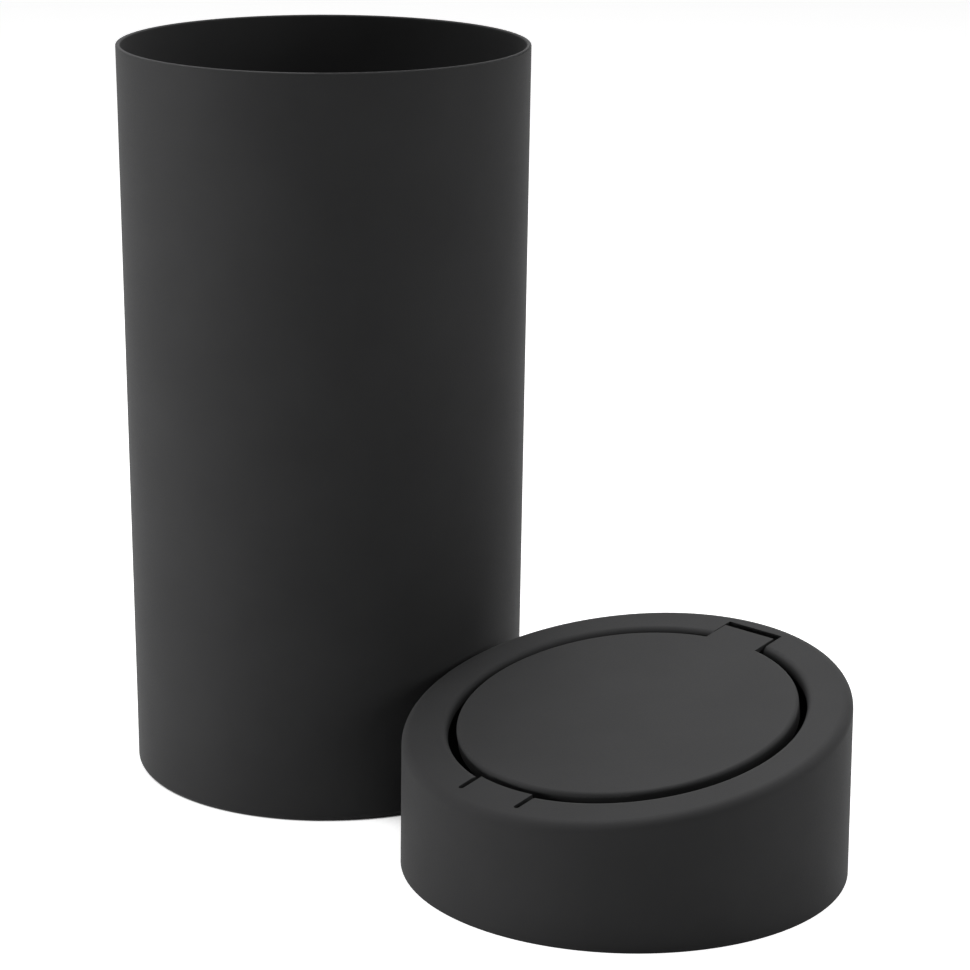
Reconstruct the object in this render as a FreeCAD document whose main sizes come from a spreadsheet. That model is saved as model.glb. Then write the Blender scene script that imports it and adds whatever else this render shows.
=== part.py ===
"""A round kitchen bin with a slanted lid that opens at a touch.

The bucket stands on the floor, and its lid stands beside it. The lid is a collar with a slanted ring top,
a round flap that swings up on a pin at the back, and a press tongue at the front that holds the flap shut.

Lengths are in millimetres and angles in degrees. The origin is the centre of the bucket's base on the floor,
with +Z up. The lid is drawn in its own axes: x runs from the tongue to the hinge, and the slope of the ring
top rises along x.
"""
import FreeCAD, Part
import math
import os

import Sketcher

SIZES = {
    # Bucket
    "rim_radius": 100.0,
    "foot_radius": 96.8,
    "bucket_height": 364.0,
    "bucket_wall": 2.2,
    "base_thickness": 2.6,
    "foot_round": 3.0,
    "inner_foot_round": 5.0,
    "rim_round": 0.9,
    "foot_ring_width": 13.0,
    "base_recess": 1.6,
    # Where the lid stands on the floor: its bearing, its gap to the bucket's foot and the way its hinge points
    "lid_bearing": -43.9,
    "lid_gap": 0.54,
    "lid_turn": 46.85,
    # Collar: skirt, wider than the bucket's rim, and slanted ring top
    "collar_margin": 5.0,
    "collar_draft": 0.47,
    "collar_height": 75.0,
    "top_slope": 10.0,
    "top_round": 4.6,
    "collar_wall": 2.2,
    # Collar: the ring round the opening, the opening's shift towards the tongue, and the neck below it
    "ring_width": 21.3,
    "opening_shift": 0.6,
    "opening_round": 3.6,
    "neck_wall": 2.0,
    "neck_depth": 5.0,
    # Collar: the notch for the flap's tab, which reaches into the ring, and the hinge box round it
    "notch_width": 32.0,
    "notch_reach": 12.7,
    "ear_thickness": 2.0,
    "hinge_box_depth": 18.0,
    "spring_bar_height": 4.5,
    "spring_bar_thickness": 2.2,
    # Collar: ribs that guide the rim and carry the lid on it
    "rib_count": 12,
    "rib_thickness": 2.0,
    "rib_foot": 3.0,
    "rib_lead": 1.6,
    "rim_overlap": 20.0,
    "rim_clearance": 0.6,
    "seat_reach": 4.5,
    "seat_depth": 6.0,
    "rib_top": 40.0,
    # Press tongue
    "tongue_width": 31.0,
    "tongue_reach": 11.0,
    "slit_width": 2.7,
    "flex_groove": 3.0,
    "flex_thickness": 1.3,
    "latch_angle": 16.0,
    "latch_arm_wall": 2.0,
    "latch_arm_depth": 11.0,
    "nib_height": 4.0,
    "nib_face": 1.2,
    # Flap, which stands a little proud of the ring
    "flap_gap": 4.0,
    "flap_rise": 0.55,
    "flap_wall": 2.2,
    "flap_round": 2.0,
    "flap_skirt": 7.0,
    "tab_side_gap": 1.2,
    "tab_rear_gap": 5.0,
    "knuckle_radius": 4.0,
    "catch_angle": 14.0,
    "catch_ledge": 1.3,
    "catch_height": 3.0,
    "catch_gap": 0.6,
    # Hinge pin and torsion spring
    "pin_reach": 2.3,
    "pin_drop": 6.0,
    "pin_radius": 1.5,
    "pin_fit": 0.02,
    "hinge_play": 0.05,
    "pin_chamfer": 0.4,
    "spring_space": 13.0,
    "wire_diameter": 1.0,
    "coil_radius": 2.7,
    "coil_turns": 7,
    "coil_end_gap": 0.4,
    "spring_leg": 20.0,
    "spring_rest_gap": 0.1,
    # How far a cut runs past the material it cuts
    "overrun": 1.0,
}

# Sizes that follow from others, so that the pieces keep together when one changes
FOLLOWING = {
    "collar_radius": "rim_radius + collar_margin",
    "opening_radius": "collar_radius - ring_width",
    "notch_end": "opening_radius + notch_reach",
    "tongue_root": "opening_radius + tongue_reach",
    "pin_back": "opening_radius + pin_reach",
    "lid_reach": "foot_radius + collar_radius + lid_gap",
    "lid_x": "lid_reach * cos(lid_bearing)",
    "lid_y": "lid_reach * sin(lid_bearing)",
}

doc = FreeCAD.newDocument("trash_can")
sheet = doc.addObject("Spreadsheet::Sheet", "sizes")
entries = {alias: str(size) for alias, size in SIZES.items()}
entries.update({alias: f"={formula}" for alias, formula in FOLLOWING.items()})
for row, alias in enumerate(entries, start=1):
    sheet.set(f"A{row}", alias.replace("_", " "))
    sheet.setAlias(f"B{row}", alias)
for row, entry in enumerate(entries.values(), start=1):
    sheet.set(f"B{row}", entry)
doc.recompute()


# Formulas that more than one piece uses

COLLAR_TOP = "(sizes.collar_height + sizes.collar_radius * tan(sizes.top_slope) + sizes.overrun)"
FLAP_RADIUS = "(sizes.opening_radius - sizes.flap_gap)"
FLAP_UNDERSIDE = "(sizes.flap_rise - sizes.flap_wall)"
LIP_REACH = "(sizes.opening_radius + sizes.opening_shift)"
CATCH_RADIUS = f"({FLAP_RADIUS} + sizes.catch_ledge)"
NIB_RADIUS = f"({CATCH_RADIUS} + sizes.catch_gap)"
CATCH_TOP = "(sizes.latch_arm_depth - sizes.catch_height / 2)"
TAB_WIDTH = "(sizes.notch_width - 2 * sizes.tab_side_gap)"
TAB_END = "(sizes.notch_end - sizes.tab_rear_gap)"
EARS_WIDTH = "(sizes.notch_width + 2 * sizes.ear_thickness)"
WINDOW_WIDTH = "(sizes.tongue_width + 2 * sizes.slit_width)"
SPRING_BAR = "(sizes.pin_back + sizes.coil_radius + sizes.wire_diameter / 2 + sizes.spring_rest_gap)"
ON_FLOOR = "placement(vector(sizes.lid_x; sizes.lid_y; 0); rotation(sizes.lid_turn; 0; 0))"
ON_SLOPE = (
    "placement(vector(sizes.lid_x; sizes.lid_y; sizes.collar_height);"
    " rotation(sizes.lid_turn; -sizes.top_slope; 0))"
)


def number(formula):
    """The value that a formula has now."""
    return float(sheet.evalExpression(formula))


def new_body(label, placement=None):
    body = doc.addObject("PartDesign::Body", label)
    body.Label = label
    if placement:
        body.setExpression("Placement", placement)
    return body


def new_sketch(body, name, plane, sloped=False):
    """A sketch on one of the body's origin planes, or on that plane moved to the slope of the lid's top."""
    sketch = body.newObject("Sketcher::SketchObject", name)
    support = next(part for part in body.Origin.OriginFeatures if part.Role == plane)
    sketch.AttachmentSupport = [(support, "")]
    sketch.MapMode = "FlatFace"
    if sloped and plane == "XY_Plane":
        sketch.setExpression(
            "AttachmentOffset",
            "placement(vector(0; 0; sizes.collar_height); rotation(0; -sizes.top_slope; 0))",
        )
    elif sloped:
        sketch.setExpression(
            "AttachmentOffset",
            "placement(vector(0; sizes.collar_height; 0); rotation(sizes.top_slope; 0; 0))",
        )
    return sketch


def hold(sketch, geometry, point, x, y):
    """Hold one point of a sketch at two formulas, or on an axis where the formula is zero."""
    for kind, axis, formula in (("DistanceX", -2, x), ("DistanceY", -1, y)):
        if formula == "0":
            sketch.addConstraint(Sketcher.Constraint("PointOnObject", geometry, point, axis))
            continue
        index = sketch.addConstraint(Sketcher.Constraint(kind, -1, 1, geometry, point, number(formula)))
        sketch.setExpression(f"Constraints[{index}]", formula)


def outline(sketch, corners):
    """A closed outline of straight lines through corners that formulas hold."""
    places = [FreeCAD.Vector(number(x), number(y), 0) for x, y in corners]
    first = sketch.GeometryCount
    for start, end in zip(places, places[1:] + places[:1]):
        sketch.addGeometry(Part.LineSegment(start, end), False)
    for step, (x, y) in enumerate(corners):
        following = first + (step + 1) % len(corners)
        sketch.addConstraint(Sketcher.Constraint("Coincident", first + step, 2, following, 1))
        hold(sketch, first + step, 1, x, y)


def circle(sketch, x, y, radius):
    centre = FreeCAD.Vector(number(x), number(y), 0)
    up = FreeCAD.Vector(0, 0, 1)
    index = sketch.addGeometry(Part.Circle(centre, up, number(radius)), False)
    hold(sketch, index, 3, x, y)
    rule = sketch.addConstraint(Sketcher.Constraint("Radius", index, number(radius)))
    sketch.setExpression(f"Constraints[{rule}]", radius)


def rectangle(sketch, x_from, x_to, y_from, y_to):
    outline(sketch, [(x_from, y_from), (x_to, y_from), (x_to, y_to), (x_from, y_to)])


def volume(body):
    return body.Tip.Shape.Volume if body.Tip else 0.0


def feature(body, kind, name, profile, adds, **settings):
    """A sketched feature with formulas for lengths and angles. It has to add or remove material as asked."""
    before = volume(body)
    made = body.newObject(f"PartDesign::{kind}", name)
    made.Profile = profile
    for key, setting in settings.items():
        if key in ("Length", "Angle"):
            made.setExpression(key, setting)
        else:
            setattr(made, key, setting)
    body.Tip = made
    doc.recompute()
    change = volume(body) - before
    if change == 0 or (change > 0) != adds:
        raise RuntimeError(f"{body.Label} {name} changed the volume by {change:.3f}")
    return made


def pad(body, name, sketch, length, **settings):
    return feature(body, "Pad", name, sketch, True, Length=length, **settings)


def pocket(body, name, sketch, length, **settings):
    return feature(body, "Pocket", name, sketch, False, Length=length, **settings)


def revolve(body, name, sketch, angle="360", **settings):
    axis = (sketch, ["V_Axis"])
    return feature(body, "Revolution", name, sketch, True, ReferenceAxis=axis, Angle=angle, **settings)


def edges_where(body, test):
    """The names of the edges, sampled at their middle and ends, whose every sample passes a test."""
    names = []
    for index, edge in enumerate(body.Tip.Shape.Edges, start=1):
        low, high = edge.ParameterRange
        samples = [edge.valueAt(low), edge.valueAt((low + high) / 2), edge.valueAt(high)]
        if all(test(place) for place in samples):
            names.append(f"Edge{index}")
    return names


def ring_at(radius, height):
    """A test for points on the level circle of this radius and height about the z axis."""
    def test(place):
        near = 0.001 * radius
        return abs(math.hypot(place.x, place.y) - radius) < near and abs(place.z - height) < near
    return test


def dress(body, kind, name, edges, size_key, size_formula):
    """A fillet or chamfer on named edges."""
    made = body.newObject(f"PartDesign::{kind}", name)
    made.Base = (body.Tip if body.Tip != made else made.BaseFeature, edges)
    made.setExpression(size_key, size_formula)
    body.Tip = made
    doc.recompute()
    return made


def make_bucket():
    """The bucket: a turned wall with a rounded rim and foot, on a base raised inside its foot ring."""
    body = new_body("bin_bucket")
    profile = new_sketch(body, "bucket_profile", "XZ_Plane")
    recess_radius = "(sizes.foot_radius - sizes.foot_ring_width)"
    floor_top = "(sizes.base_recess + sizes.base_thickness)"
    taper = "((sizes.rim_radius - sizes.foot_radius) / sizes.bucket_height)"
    outline(profile, [
        ("0", "sizes.base_recess"),
        (recess_radius, "sizes.base_recess"),
        (f"{recess_radius} + sizes.base_recess", "0"),
        ("sizes.foot_radius", "0"),
        ("sizes.rim_radius", "sizes.bucket_height"),
        ("sizes.rim_radius - sizes.bucket_wall", "sizes.bucket_height"),
        (f"sizes.foot_radius + {taper} * {floor_top} - sizes.bucket_wall", floor_top),
        ("0", floor_top),
    ])
    revolve(body, "bucket_wall", profile)
    inner_foot = number(f"sizes.foot_radius + {taper} * {floor_top} - sizes.bucket_wall")
    rim = number("sizes.rim_radius")
    rim_inside = number("sizes.rim_radius - sizes.bucket_wall")
    top = number("sizes.bucket_height")
    foot = ring_at(number("sizes.foot_radius"), 0)
    dress(body, "Fillet", "foot_edge", edges_where(body, foot), "Radius", "sizes.foot_round")
    corner = ring_at(inner_foot, number(floor_top))
    dress(body, "Fillet", "inner_foot_edge", edges_where(body, corner), "Radius", "sizes.inner_foot_round")
    rim_edges = edges_where(body, ring_at(rim, top)) + edges_where(body, ring_at(rim_inside, top))
    dress(body, "Fillet", "rim_edge", rim_edges, "Radius", "sizes.rim_round")
    return body


def make_collar():
    """The collar: a drafted skirt cut off at a slope, hollowed, with the opening, hinge box and seat ribs."""
    body = new_body("lid_collar", ON_FLOOR)
    narrowing = f"({COLLAR_TOP} * tan(sizes.collar_draft))"
    skirt = new_sketch(body, "skirt_profile", "XZ_Plane")
    outline(skirt, [
        ("0", "0"),
        ("sizes.collar_radius", "0"),
        (f"sizes.collar_radius - {narrowing}", COLLAR_TOP),
        ("0", COLLAR_TOP),
    ])
    revolve(body, "skirt", skirt)

    slant = new_sketch(body, "slant_cut", "XY_Plane", sloped=True)
    circle(slant, "0", "0", "2 * sizes.collar_radius")
    pocket(body, "slanted_top", slant, COLLAR_TOP, Reversed=True)
    slope = math.tan(math.radians(number("sizes.top_slope")))
    middle = number("sizes.collar_height")
    near = number("sizes.overrun") / 100

    def on_slope(place):
        return abs(place.z - middle - slope * place.x) < near

    dress(body, "Fillet", "top_edge", edges_where(body, on_slope), "Radius", "sizes.top_round")

    shell = body.newObject("PartDesign::Thickness", "hollow")
    faces = body.Tip.Shape.Faces if body.Tip != shell else shell.BaseFeature.Shape.Faces
    underside = min(range(len(faces)), key=lambda index: faces[index].CenterOfMass.z)
    shell.Base = (body.Tip if body.Tip != shell else shell.BaseFeature, [f"Face{underside + 1}"])
    shell.Reversed = True
    shell.setExpression("Value", "sizes.collar_wall")
    body.Tip = shell
    doc.recompute()

    neck = new_sketch(body, "neck_outline", "XY_Plane", sloped=True)
    circle(neck, "-sizes.opening_shift", "0", "sizes.opening_radius + sizes.neck_wall")
    pad(body, "neck", neck, "sizes.neck_depth", Reversed=True)

    box = new_sketch(body, "hinge_box_outline", "XY_Plane", sloped=True)
    rectangle(
        box, "sizes.opening_radius - sizes.neck_wall", "sizes.notch_end + sizes.ear_thickness",
        f"-{EARS_WIDTH} / 2", f"{EARS_WIDTH} / 2",
    )
    pad(body, "hinge_box", box, "sizes.hinge_box_depth", Reversed=True)

    opening = new_sketch(body, "opening_outline", "XY_Plane", sloped=True)
    circle(opening, "-sizes.opening_shift", "0", "sizes.opening_radius")
    pocket(body, "opening", opening, "sizes.hinge_box_depth + sizes.overrun")
    mouth = number("sizes.opening_radius")
    shift = number("sizes.opening_shift")

    def on_mouth(place):
        along = place.x / math.cos(math.atan(slope)) + shift
        return on_slope(place) and abs(math.hypot(along, place.y) - mouth) < near

    dress(body, "Fillet", "opening_edge", edges_where(body, on_mouth), "Radius", "sizes.opening_round")

    notch = new_sketch(body, "notch_outline", "XY_Plane", sloped=True)
    rectangle(
        notch, "sizes.opening_radius / 2", "sizes.notch_end",
        "-sizes.notch_width / 2", "sizes.notch_width / 2",
    )
    pocket(body, "notch", notch, "sizes.hinge_box_depth + sizes.overrun")

    bar = new_sketch(body, "spring_bar_section", "XZ_Plane", sloped=True)
    rectangle(
        bar, SPRING_BAR, f"{SPRING_BAR} + sizes.spring_bar_thickness",
        "-sizes.hinge_box_depth", "sizes.spring_bar_height - sizes.hinge_box_depth",
    )
    pad(body, "spring_bar", bar, EARS_WIDTH, SideType="Symmetric")

    bore = new_sketch(body, "pin_bore_section", "XZ_Plane", sloped=True)
    circle(bore, "sizes.pin_back", "-sizes.pin_drop", "sizes.pin_radius + sizes.pin_fit")
    pocket(body, "pin_bore", bore, f"{EARS_WIDTH} + 2 * sizes.overrun", SideType="Symmetric")

    window = new_sketch(body, "tongue_window_outline", "XY_Plane", sloped=True)
    rectangle(
        window, "-sizes.tongue_root", "-sizes.opening_radius / 2",
        f"-{WINDOW_WIDTH} / 2", f"{WINDOW_WIDTH} / 2",
    )
    pocket(body, "tongue_window", window, "sizes.neck_depth + sizes.overrun")

    ends = new_sketch(body, "slit_ends", "XY_Plane", sloped=True)
    for side in ("-", ""):
        circle(
            ends, "-sizes.tongue_root", f"{side}(sizes.tongue_width + sizes.slit_width) / 2",
            "sizes.slit_width / 2",
        )
    pocket(body, "slit_rounding", ends, "sizes.neck_depth")

    rib = new_sketch(body, "seat_rib_section", "XZ_Plane")
    guide = "(sizes.rim_radius + sizes.rim_clearance)"
    seat = "(sizes.rim_radius - sizes.seat_reach)"
    in_wall = "(sizes.collar_radius - sizes.collar_wall / 2 - sizes.rib_top * tan(sizes.collar_draft))"
    outline(rib, [
        (in_wall, "sizes.rib_foot"),
        (f"{guide} + sizes.rib_lead", "sizes.rib_foot"),
        (guide, "sizes.rib_foot + 2 * sizes.rib_lead"),
        (guide, "sizes.rim_overlap"),
        (seat, "sizes.rim_overlap"),
        (seat, "sizes.rim_overlap + sizes.seat_depth"),
        (in_wall, "sizes.rib_top"),
    ])
    first_rib = pad(body, "seat_rib", rib, "sizes.rib_thickness", SideType="Symmetric")
    ribs = body.newObject("PartDesign::PolarPattern", "seat_ribs")
    ribs.Originals = [first_rib]
    ribs.Axis = (rib, ["V_Axis"])
    ribs.Angle = 360
    ribs.setExpression("Occurrences", "sizes.rib_count")
    body.Tip = ribs
    doc.recompute()
    return body


def make_tongue():
    """The press tongue: a plate that bends at a thin root, with an arm below its lip and the latch nib."""
    body = new_body("latch_tongue", ON_SLOPE)
    plate = new_sketch(body, "tongue_outline", "XY_Plane")
    rectangle(
        plate, "-sizes.tongue_root", f"-{LIP_REACH} / 2",
        "-sizes.tongue_width / 2", "sizes.tongue_width / 2",
    )
    pad(body, "tongue_plate", plate, "sizes.collar_wall", Reversed=True)
    lip = new_sketch(body, "lip_outline", "XY_Plane")
    circle(lip, "0", "0", LIP_REACH)
    pocket(body, "lip", lip, "sizes.collar_wall + sizes.overrun")

    groove = new_sketch(body, "flex_groove_section", "XZ_Plane")
    rectangle(
        groove, "-sizes.tongue_root - sizes.overrun", "sizes.flex_groove - sizes.tongue_root",
        "-sizes.collar_wall - sizes.overrun", "-sizes.flex_thickness",
    )
    pocket(body, "flex_groove", groove, "sizes.tongue_width + 2 * sizes.overrun", SideType="Symmetric")

    arm = new_sketch(body, "latch_arm_section", "XZ_Plane")
    outline(arm, [
        (f"-{LIP_REACH} - sizes.latch_arm_wall", "-sizes.collar_wall / 2"),
        (f"-{LIP_REACH} - sizes.latch_arm_wall", "-sizes.latch_arm_depth"),
        (f"-{LIP_REACH}", "-sizes.latch_arm_depth"),
        (f"-{NIB_RADIUS}", f"sizes.nib_face - {CATCH_TOP}"),
        (f"-{NIB_RADIUS}", f"2 * sizes.nib_face - {CATCH_TOP}"),
        (f"-{LIP_REACH}", f"sizes.nib_height + sizes.nib_face - {CATCH_TOP}"),
        (f"-{LIP_REACH}", "-sizes.collar_wall / 2"),
    ])
    revolve(body, "latch_arm", arm, "sizes.latch_angle", Midplane=True)
    return body


def make_flap():
    """The flap: a round plate with a turned-down edge, a tab with two knuckles, and a catch at its front."""
    body = new_body("lid_flap", ON_SLOPE)
    profile = new_sketch(body, "flap_profile", "XZ_Plane")
    outline(profile, [
        ("0", "sizes.flap_rise"),
        (FLAP_RADIUS, "sizes.flap_rise"),
        (FLAP_RADIUS, "-sizes.flap_skirt"),
        (f"{FLAP_RADIUS} - sizes.flap_wall", "-sizes.flap_skirt"),
        (f"{FLAP_RADIUS} - sizes.flap_wall", FLAP_UNDERSIDE),
        ("0", FLAP_UNDERSIDE),
    ])
    revolve(body, "flap_plate", profile)
    edge = ring_at(number(FLAP_RADIUS), number("sizes.flap_rise"))
    dress(body, "Fillet", "flap_edge", edges_where(body, edge), "Radius", "sizes.flap_round")
    corner = ring_at(number(f"{FLAP_RADIUS} - sizes.flap_wall"), number(FLAP_UNDERSIDE))
    inner_round = "max(sizes.flap_round - sizes.flap_wall; sizes.flap_wall / 4)"
    dress(body, "Fillet", "flap_inner_edge", edges_where(body, corner), "Radius", inner_round)

    tab = new_sketch(body, "tab_section", "XZ_Plane")
    rectangle(tab, f"{FLAP_RADIUS} - 3 * sizes.flap_round", TAB_END, FLAP_UNDERSIDE, "sizes.flap_rise")
    pad(body, "tab", tab, TAB_WIDTH, SideType="Symmetric")

    web = new_sketch(body, "knuckle_web_section", "XZ_Plane")
    rectangle(
        web, "sizes.pin_back - sizes.knuckle_radius", "sizes.pin_back + sizes.knuckle_radius",
        "-sizes.pin_drop", f"{FLAP_UNDERSIDE} + sizes.flap_wall / 2",
    )
    pad(body, "knuckle_web", web, TAB_WIDTH, SideType="Symmetric")
    barrel = new_sketch(body, "knuckle_section", "XZ_Plane")
    circle(barrel, "sizes.pin_back", "-sizes.pin_drop", "sizes.knuckle_radius")
    pad(body, "knuckle", barrel, TAB_WIDTH, SideType="Symmetric")

    room = new_sketch(body, "spring_room_section", "XZ_Plane")
    rectangle(
        room, f"{FLAP_RADIUS} - 3 * sizes.flap_round", f"{TAB_END} + sizes.overrun",
        "-sizes.pin_drop - sizes.knuckle_radius - sizes.overrun", FLAP_UNDERSIDE,
    )
    pocket(body, "spring_room", room, "sizes.spring_space", SideType="Symmetric")
    bore = new_sketch(body, "knuckle_bore_section", "XZ_Plane")
    circle(bore, "sizes.pin_back", "-sizes.pin_drop", "sizes.pin_radius + sizes.hinge_play")
    pocket(body, "knuckle_bore", bore, f"{TAB_WIDTH} + 2 * sizes.overrun", SideType="Symmetric")

    catch = new_sketch(body, "catch_section", "XZ_Plane")
    inside = f"(sizes.flap_wall - {FLAP_RADIUS})"
    outline(catch, [
        (inside, "-sizes.flap_skirt / 2"),
        (f"-{FLAP_RADIUS}", "-sizes.flap_skirt / 2"),
        (f"-{FLAP_RADIUS}", f"-{CATCH_TOP}"),
        (f"-{CATCH_RADIUS}", f"-{CATCH_TOP}"),
        (f"-{CATCH_RADIUS}", f"-{CATCH_TOP} - sizes.catch_height / 3"),
        (f"-{FLAP_RADIUS}", f"-{CATCH_TOP} - sizes.catch_height"),
        (inside, f"-{CATCH_TOP} - sizes.catch_height"),
    ])
    revolve(body, "catch", catch, "sizes.catch_angle", Midplane=True)
    return body


def make_pin():
    """The hinge pin, held by the two ears and turning in the flap's knuckles."""
    body = new_body("hinge_pin", ON_SLOPE)
    section = new_sketch(body, "pin_section", "XZ_Plane")
    circle(section, "sizes.pin_back", "-sizes.pin_drop", "sizes.pin_radius")
    pad(body, "pin", section, EARS_WIDTH, SideType="Symmetric")
    half = number(f"{EARS_WIDTH} / 2")
    near = number("sizes.pin_radius") / 100
    ends = edges_where(body, lambda place: abs(abs(place.y) - half) < near)
    dress(body, "Chamfer", "pin_ends", ends, "Size", "sizes.pin_chamfer")
    return body


def biarc(start, start_way, end, end_way):
    """Two arcs that meet smoothly and leave and reach two points in given directions."""
    span = end - start
    ways = start_way + end_way
    turn = 2 * (1 - start_way.dot(end_way))
    reach = (math.sqrt(span.dot(ways) ** 2 + turn * span.dot(span)) - span.dot(ways)) / turn
    first_corner = start + start_way * reach
    last_corner = end - end_way * reach
    middle = (first_corner + last_corner) * 0.5
    arcs = []
    for begin, corner, finish in ((start, first_corner, middle), (middle, last_corner, end)):
        chord = (begin + finish) * 0.5
        half_turn = (corner - begin).getAngle(finish - begin)
        share = math.cos(half_turn) / (1 + math.cos(half_turn))
        arcs.append(Part.Arc(begin, chord + (corner - chord) * share, finish).toShape())
    return arcs


def make_spring():
    """The torsion spring: one wire with a leg on the hinge box's bar, close turns and a leg under the flap."""
    wire = number("sizes.wire_diameter")
    radius = number("sizes.coil_radius")
    turns = int(number("sizes.coil_turns"))
    space = number("sizes.spring_space")
    run = space - 2 * number("sizes.coil_end_gap") - wire
    axis = FreeCAD.Vector(number("sizes.pin_back"), -run / 2, -number("sizes.pin_drop"))
    leg = number("sizes.spring_leg")
    below_flap = number(f"sizes.spring_rest_gap + sizes.wire_diameter / 2 - {FLAP_UNDERSIDE}")
    rise = math.asin((number("sizes.pin_drop") - radius - below_flap) / leg)
    sweep = 2 * math.pi * turns + math.pi / 2 - rise

    quarters = 4 * turns + 1
    angles = [sweep * step / quarters for step in range(quarters + 1)]
    first, last = angles[0], angles[-1]

    def at(angle):
        return axis + FreeCAD.Vector(radius * math.cos(angle), run * angle / sweep, radius * math.sin(angle))

    def way(angle):
        """The wire's direction: along the turns, and square to the pin where a leg begins."""
        climb = 0 if angle in (first, last) else run / sweep
        tangent = FreeCAD.Vector(-radius * math.sin(angle), climb, radius * math.cos(angle))
        return tangent.normalize()

    down = number("sizes.hinge_box_depth - sizes.pin_drop") - wire
    edges = [Part.LineSegment(at(first) - way(first) * down, at(first)).toShape()]
    for begin, finish in zip(angles, angles[1:]):
        edges += biarc(at(begin), way(begin), at(finish), way(finish))
    edges.append(Part.LineSegment(at(last), at(last) + way(last) * leg).toShape())
    path = Part.Wire(edges)
    section = Part.Wire(Part.Circle(path.Edges[0].valueAt(0), way(first), wire / 2).toShape())
    step = wire / 4
    spots = path.discretize(Distance=step)
    half_turn = int(math.pi * radius / step)
    least = min(
        spot.distanceToPoint(other)
        for index, spot in enumerate(spots)
        for other in spots[index + half_turn:]
    )
    print(f"spring: {turns} turns, {path.Length:.1f} mm of wire, least gap to itself {least - wire:.2f} mm")
    shape = path.makePipeShell([section], True, False)
    made = doc.addObject("Part::Feature", "flap_spring")
    made.Label = "flap_spring"
    made.Shape = shape
    made.setExpression("Placement", ON_SLOPE)
    doc.recompute()
    share = shape.Volume / (path.Length * math.pi * wire ** 2 / 4)
    print(f"spring: the volume is {share:.4f} of section times length")
    return made


PIECES = [make_bucket(), make_collar(), make_tongue(), make_flap(), make_pin(), make_spring()]
doc.recompute()

for item in doc.Objects:
    if "Invalid" in item.State or "Error" in item.State:
        raise RuntimeError(f"{item.Label} did not build: {item.State}")
for piece in PIECES:
    if piece.Shape.isNull() or not piece.Shape.isValid() or len(piece.Shape.Solids) != 1:
        raise RuntimeError(f"{piece.Label} is not one valid solid")

os.makedirs("parts", exist_ok=True)
for piece in PIECES:
    piece.Shape.exportStep(f"parts/{piece.Label}.step")
    box = piece.Shape.BoundBox
    size = f"{box.XLength:.1f} x {box.YLength:.1f} x {box.ZLength:.1f} mm"
    print(f"{piece.Label}: {size}, {piece.Shape.Volume:.0f} mm3")
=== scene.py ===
import math

import bpy
from mathutils import Matrix, Vector


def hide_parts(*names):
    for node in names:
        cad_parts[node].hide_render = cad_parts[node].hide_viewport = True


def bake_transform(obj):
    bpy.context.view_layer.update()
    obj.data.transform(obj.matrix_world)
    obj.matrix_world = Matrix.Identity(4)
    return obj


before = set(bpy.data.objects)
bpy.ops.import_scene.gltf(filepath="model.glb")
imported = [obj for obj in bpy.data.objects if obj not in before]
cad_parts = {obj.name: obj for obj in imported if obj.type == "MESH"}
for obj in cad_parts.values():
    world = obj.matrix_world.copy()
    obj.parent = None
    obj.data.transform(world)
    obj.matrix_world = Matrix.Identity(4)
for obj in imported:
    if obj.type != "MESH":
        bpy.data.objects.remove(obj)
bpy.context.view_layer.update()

scene = bpy.context.scene
scene.view_settings.view_transform = "Standard"

# Lengths are in metres, angles in degrees, powers in watts, and the lens and sensor in millimetres.

# The camera as it stood for the photograph
CAMERA_PLACE = (0.079189, -1.504291, 0.576943)
CAMERA_TILT = 73.893
CAMERA_ROLL = 0.448
CAMERA_LENS = 115.94
SENSOR_WIDTH = 36.0

# Matte plastic: its greys, the clouds in them, the fine grain and the unevenness of a moulded wall
BUCKET_GREY = (0.065, 0.065, 0.066)
LID_GREY = (0.064, 0.064, 0.065)
CLOUD_SHARE = 0.06
CLOUD_SIZE = 0.05
CLOUD_DETAIL = 4
GRAIN_SIZE = 0.0007
GRAIN_DEPTH = 0.00004
GRAIN_DETAIL = 2
PEEL_SIZE = 0.012
PEEL_DEPTH = 0.00003
PEEL_DETAIL = 1
PLASTIC_SPECULAR = 0.06

# Roughness, from the glossiest spots to the dullest
BUCKET_ROUGHNESS = (0.58, 0.72)
LID_ROUGHNESS = (0.60, 0.74)
STEEL_ROUGHNESS = (0.28, 0.45)

# Drawn steel, with scratches that darken it
STEEL_GREY = (0.55, 0.55, 0.56)
SCRATCH_SHARE = 0.8
SCRATCH_SIZE = 0.00035
SCRATCH_DEPTH = 0.000005
SCRATCH_DETAIL = 6

# The part of a noise's range that a colour or number runs over
NOISE_LOW_SHARE = 0.3
NOISE_HIGH_SHARE = 0.7

# The studio's floor and world, which camera and reflections see as white
FLOOR_HALF = 7.0
FLOOR_GREY = 0.7
WHITE_SHARE = 0.9
WORLD_LIGHT = 0.01

# Painted shade: the floor's white glow fades and the floor stays dark where something covers it, such as
# inside the shut lid
COVER_REACH = 0.25
COVER_SAMPLES = 16
COVERED_SHARE = 0.14
OPEN_SHARE = 0.3

# Soft boxes that face one point: place, width, height and power
LAMP_TARGET = (0.06, -0.05, 0.15)
LAMPS = {
    "back_box": ((0.2, 0.9, 1.9), 1.6, 1.6, 22),
    "top_box": ((0.1, 0.0, 2.1), 1.6, 1.6, 13.5),
    "high_left_box": ((-1.2, 0.2, 1.6), 1.0, 1.0, 4),
    "left_box": ((-1.75, -0.4, 0.2), 1.2, 0.4, 12.5),
    "right_box": ((1.8, -0.3, 0.7), 1.2, 0.8, 5.5),
}


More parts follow.
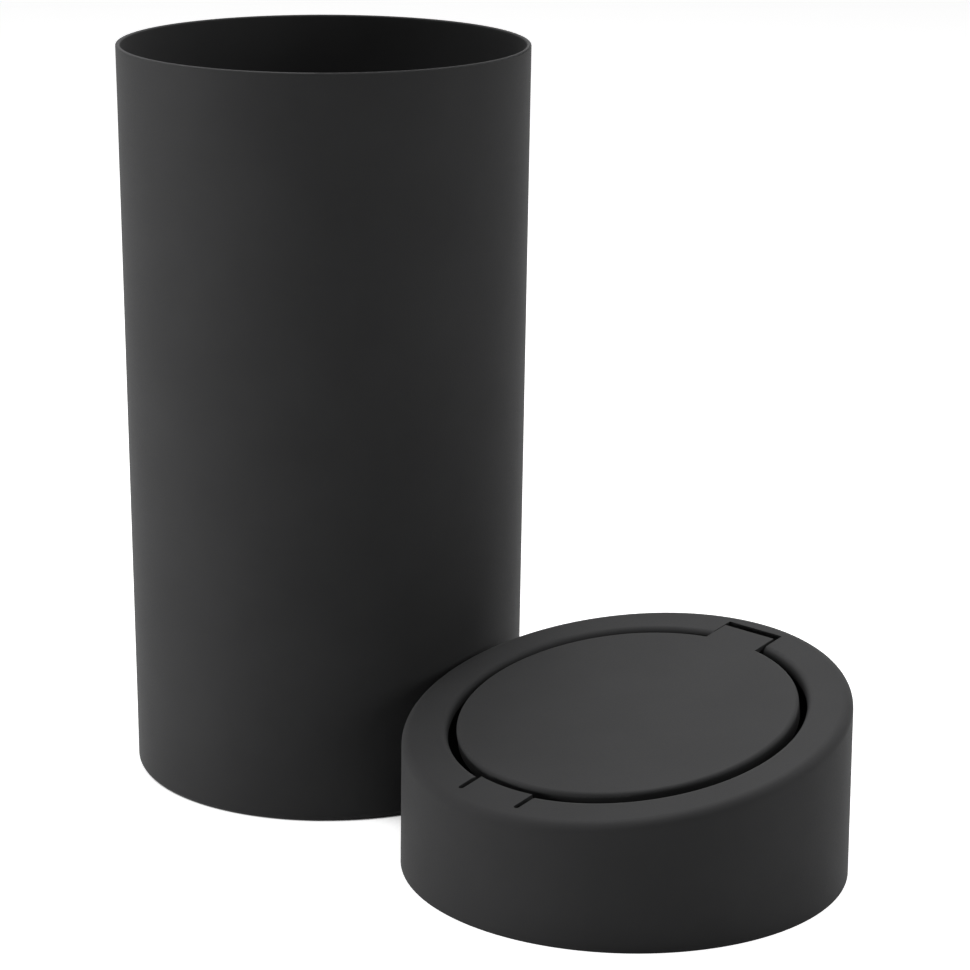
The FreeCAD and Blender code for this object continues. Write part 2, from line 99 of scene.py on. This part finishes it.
def set_camera():
    data = bpy.data.cameras.new("photo_camera")
    data.sensor_width = SENSOR_WIDTH
    data.lens = CAMERA_LENS
    camera = bpy.data.objects.new("photo_camera", data)
    tilt = Matrix.Rotation(math.radians(CAMERA_TILT), 4, "X")
    roll = Matrix.Rotation(math.radians(CAMERA_ROLL), 4, "Z")
    camera.matrix_world = Matrix.Translation(CAMERA_PLACE) @ tilt @ roll
    scene.collection.objects.link(camera)
    scene.camera = camera


def link(tree, output, socket):
    tree.links.new(output, socket)


def new_material(name):
    """A new material with its node tree and its main shader."""
    material = bpy.data.materials.new(name)
    material.use_nodes = True
    tree = material.node_tree
    return material, tree, tree.nodes["Principled BSDF"]


def noise(tree, place, size, detail):
    """Grey noise whose features are about this size."""
    node = tree.nodes.new("ShaderNodeTexNoise")
    node.inputs["Scale"].default_value = 1 / size
    node.inputs["Detail"].default_value = detail
    link(tree, place, node.inputs["Vector"])
    return node.outputs["Fac"]


def ramp(tree, value, low, high):
    """A colour that runs between two others as a value runs over the middle of its range."""
    node = tree.nodes.new("ShaderNodeValToRGB")
    first, last = node.color_ramp.elements
    first.position = NOISE_LOW_SHARE
    first.color = (*low, 1)
    last.position = NOISE_HIGH_SHARE
    last.color = (*high, 1)
    link(tree, value, node.inputs["Fac"])
    return node.outputs["Color"]


def spread(tree, value, low, high):
    """A number that runs between two others as a value runs over the middle of its range."""
    node = tree.nodes.new("ShaderNodeMapRange")
    node.inputs["From Min"].default_value = NOISE_LOW_SHARE
    node.inputs["From Max"].default_value = NOISE_HIGH_SHARE
    node.inputs["To Min"].default_value = low
    node.inputs["To Max"].default_value = high
    link(tree, value, node.inputs["Value"])
    return node.outputs["Result"]


def bump(tree, height, depth, before=None):
    """A surface roughened by a height, on top of an earlier bump if there is one."""
    node = tree.nodes.new("ShaderNodeBump")
    node.inputs["Strength"].default_value = 1
    node.inputs["Distance"].default_value = depth
    link(tree, height, node.inputs["Height"])
    if before:
        link(tree, before, node.inputs["Normal"])
    return node.outputs["Normal"]


def shade(colour, share):
    return tuple(channel * share for channel in colour)


def plastic(name, colour, roughness):
    """Matte moulded plastic: a fine grain, a slightly uneven wall and faint clouds in the colour."""
    material, tree, shader = new_material(name)
    place = tree.nodes.new("ShaderNodeTexCoord").outputs["Object"]
    clouds = noise(tree, place, CLOUD_SIZE, CLOUD_DETAIL)
    tint = ramp(tree, clouds, shade(colour, 1 - CLOUD_SHARE), shade(colour, 1 + CLOUD_SHARE))
    link(tree, tint, shader.inputs["Base Color"])
    grain = noise(tree, place, GRAIN_SIZE, GRAIN_DETAIL)
    link(tree, spread(tree, grain, *roughness), shader.inputs["Roughness"])
    peel = bump(tree, noise(tree, place, PEEL_SIZE, PEEL_DETAIL), PEEL_DEPTH)
    link(tree, bump(tree, grain, GRAIN_DEPTH, peel), shader.inputs["Normal"])
    shader.inputs["Specular IOR Level"].default_value = PLASTIC_SPECULAR
    return material


def steel(name, colour, roughness):
    """Drawn steel wire: metal with fine scratches."""
    material, tree, shader = new_material(name)
    place = tree.nodes.new("ShaderNodeTexCoord").outputs["Object"]
    scratches = noise(tree, place, SCRATCH_SIZE, SCRATCH_DETAIL)
    tint = ramp(tree, scratches, shade(colour, SCRATCH_SHARE), colour)
    link(tree, tint, shader.inputs["Base Color"])
    link(tree, spread(tree, scratches, *roughness), shader.inputs["Roughness"])
    link(tree, bump(tree, scratches, SCRATCH_DEPTH), shader.inputs["Normal"])
    shader.inputs["Metallic"].default_value = 1
    return material


def seen(tree):
    """One where a ray comes from the camera, a reflection or glass, and zero elsewhere."""
    path = tree.nodes.new("ShaderNodeLightPath")
    total = path.outputs["Is Camera Ray"]
    for ray in ("Is Glossy Ray", "Is Transmission Ray"):
        node = tree.nodes.new("ShaderNodeMath")
        node.operation = "MAXIMUM"
        link(tree, total, node.inputs[0])
        link(tree, path.outputs[ray], node.inputs[1])
        total = node.outputs["Value"]
    return total


def floor_material():
    """A pale floor that is seen as white, with painted shade where it is closely covered."""
    material, tree, shader = new_material("white_floor")
    shader.inputs["Base Color"].default_value = (FLOOR_GREY, FLOOR_GREY, FLOOR_GREY, 1)
    shader.inputs["Roughness"].default_value = 1
    shader.inputs["Specular IOR Level"].default_value = 0
    shader.inputs["Emission Color"].default_value = (1, 1, 1, 1)
    # Painted shade: an ambient-occlusion mask fades the white glow where the floor is covered
    cover = tree.nodes.new("ShaderNodeAmbientOcclusion")
    cover.samples = COVER_SAMPLES
    cover.inputs["Distance"].default_value = COVER_REACH
    white = tree.nodes.new("ShaderNodeMapRange")
    white.inputs["From Min"].default_value = COVERED_SHARE
    white.inputs["From Max"].default_value = OPEN_SHARE
    white.inputs["To Max"].default_value = WHITE_SHARE
    link(tree, cover.outputs["AO"], white.inputs["Value"])
    share = tree.nodes.new("ShaderNodeMath")
    share.operation = "MULTIPLY"
    link(tree, seen(tree), share.inputs[0])
    link(tree, white.outputs["Result"], share.inputs[1])
    link(tree, share.outputs["Value"], shader.inputs["Emission Strength"])
    return material


def make_floor():
    mesh = bpy.data.meshes.new("floor")
    half = FLOOR_HALF
    corners = [(-half, -half, 0), (half, -half, 0), (half, half, 0), (-half, half, 0)]
    mesh.from_pydata(corners, [], [(0, 1, 2, 3)])
    floor = bpy.data.objects.new("floor", mesh)
    scene.collection.objects.link(floor)
    mesh.materials.append(floor_material())


def set_world():
    """A world that is seen as white and gives little light."""
    world = bpy.data.worlds.new("studio")
    world.use_nodes = True
    tree = world.node_tree
    background = tree.nodes["Background"]
    background.inputs["Color"].default_value = (1, 1, 1, 1)
    level = tree.nodes.new("ShaderNodeMapRange")
    level.inputs["To Min"].default_value = WORLD_LIGHT
    level.inputs["To Max"].default_value = 1
    link(tree, seen(tree), level.inputs["Value"])
    link(tree, level.outputs["Result"], background.inputs["Strength"])
    scene.world = world


def lamp(name, place, width, height, power):
    """A soft box that faces the object."""
    data = bpy.data.lights.new(name, "AREA")
    data.shape = "RECTANGLE"
    data.size = width
    data.size_y = height
    data.energy = power
    light = bpy.data.objects.new(name, data)
    light.location = place
    way = Vector(LAMP_TARGET) - Vector(place)
    light.rotation_euler = way.to_track_quat("-Z", "Y").to_euler()
    light.visible_camera = False
    scene.collection.objects.link(light)


def make_spring(finish):
    """The torsion spring: a copy of its part with this finish, in place of the part, which is hidden."""
    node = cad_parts["flap_spring"]
    piece = bpy.data.objects.new("torsion_spring", node.data.copy())
    scene.collection.objects.link(piece)
    piece.data.materials.clear()
    piece.data.materials.append(finish)
    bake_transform(piece)
    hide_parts("flap_spring")


set_camera()
set_world()
make_floor()
for name, box in LAMPS.items():
    lamp(name, *box)

bucket_plastic = plastic("bucket_plastic", BUCKET_GREY, BUCKET_ROUGHNESS)
lid_plastic = plastic("lid_plastic", LID_GREY, LID_ROUGHNESS)
hinge_steel = steel("hinge_steel", STEEL_GREY, STEEL_ROUGHNESS)
FINISHES = {
    "bin_bucket": bucket_plastic,
    "lid_collar": lid_plastic,
    "latch_tongue": lid_plastic,
    "lid_flap": lid_plastic,
    "hinge_pin": hinge_steel,
}
for name, finish in FINISHES.items():
    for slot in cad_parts[name].material_slots:
        slot.material = finish
make_spring(hinge_steel)
